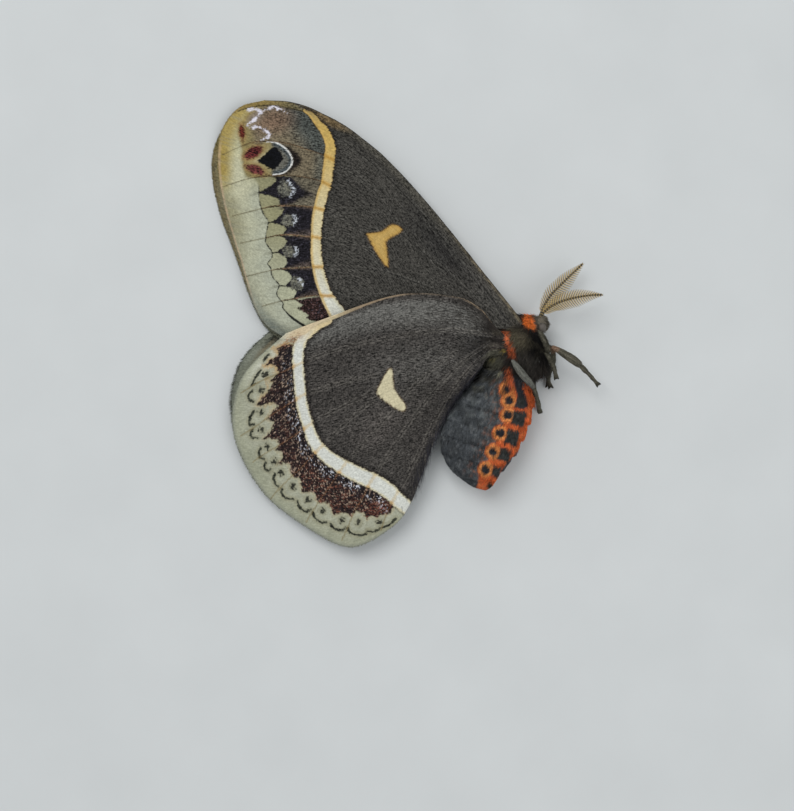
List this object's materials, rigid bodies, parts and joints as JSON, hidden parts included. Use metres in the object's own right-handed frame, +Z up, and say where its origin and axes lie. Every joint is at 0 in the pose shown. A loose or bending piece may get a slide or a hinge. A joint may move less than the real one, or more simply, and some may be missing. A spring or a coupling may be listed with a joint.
{
  "type": "calleta silkmoth",
  "caption": "Life-size papered silkmoth lying on its left side, wings folded together over the back, body, legs and comb feelers to the right.",
  "frame": {"origin": "on the floor under the middle of the bounding box", "axes": "+Z up, away from the floor and out of the moth's right side; +Y towards the forewings' tips; +X towards the head and feelers"},
  "size_m": [0.0649, 0.0744, 0.0105],
  "materials": {
    "thorax": "matte dark fur",
    "abdomen": "matte short fur with orange rings",
    "head": "matte dark fur",
    "eye": "dull sheen, dried",
    "antenna": "matte tan",
    "wing": "matte powdery scales with pale bands",
    "leg": "matte scales"
  },
  "bodies": {
    "root": {"thorax": "thorax", "abdomen": "abdomen", "head": "head", "eye_right": "eye", "eye_left": "eye", "antenna_right": "antenna", "antenna_left": "antenna", "forewing_right": "wing", "forewing_left": "wing", "hindwing_right": "wing", "hindwing_left": "wing", "foreleg_right": "leg", "foreleg_left": "leg", "midleg_right": "leg", "midleg_left": "leg", "hindleg_right": "leg", "hindleg_left": "leg"}
  },
  "joints": []
}
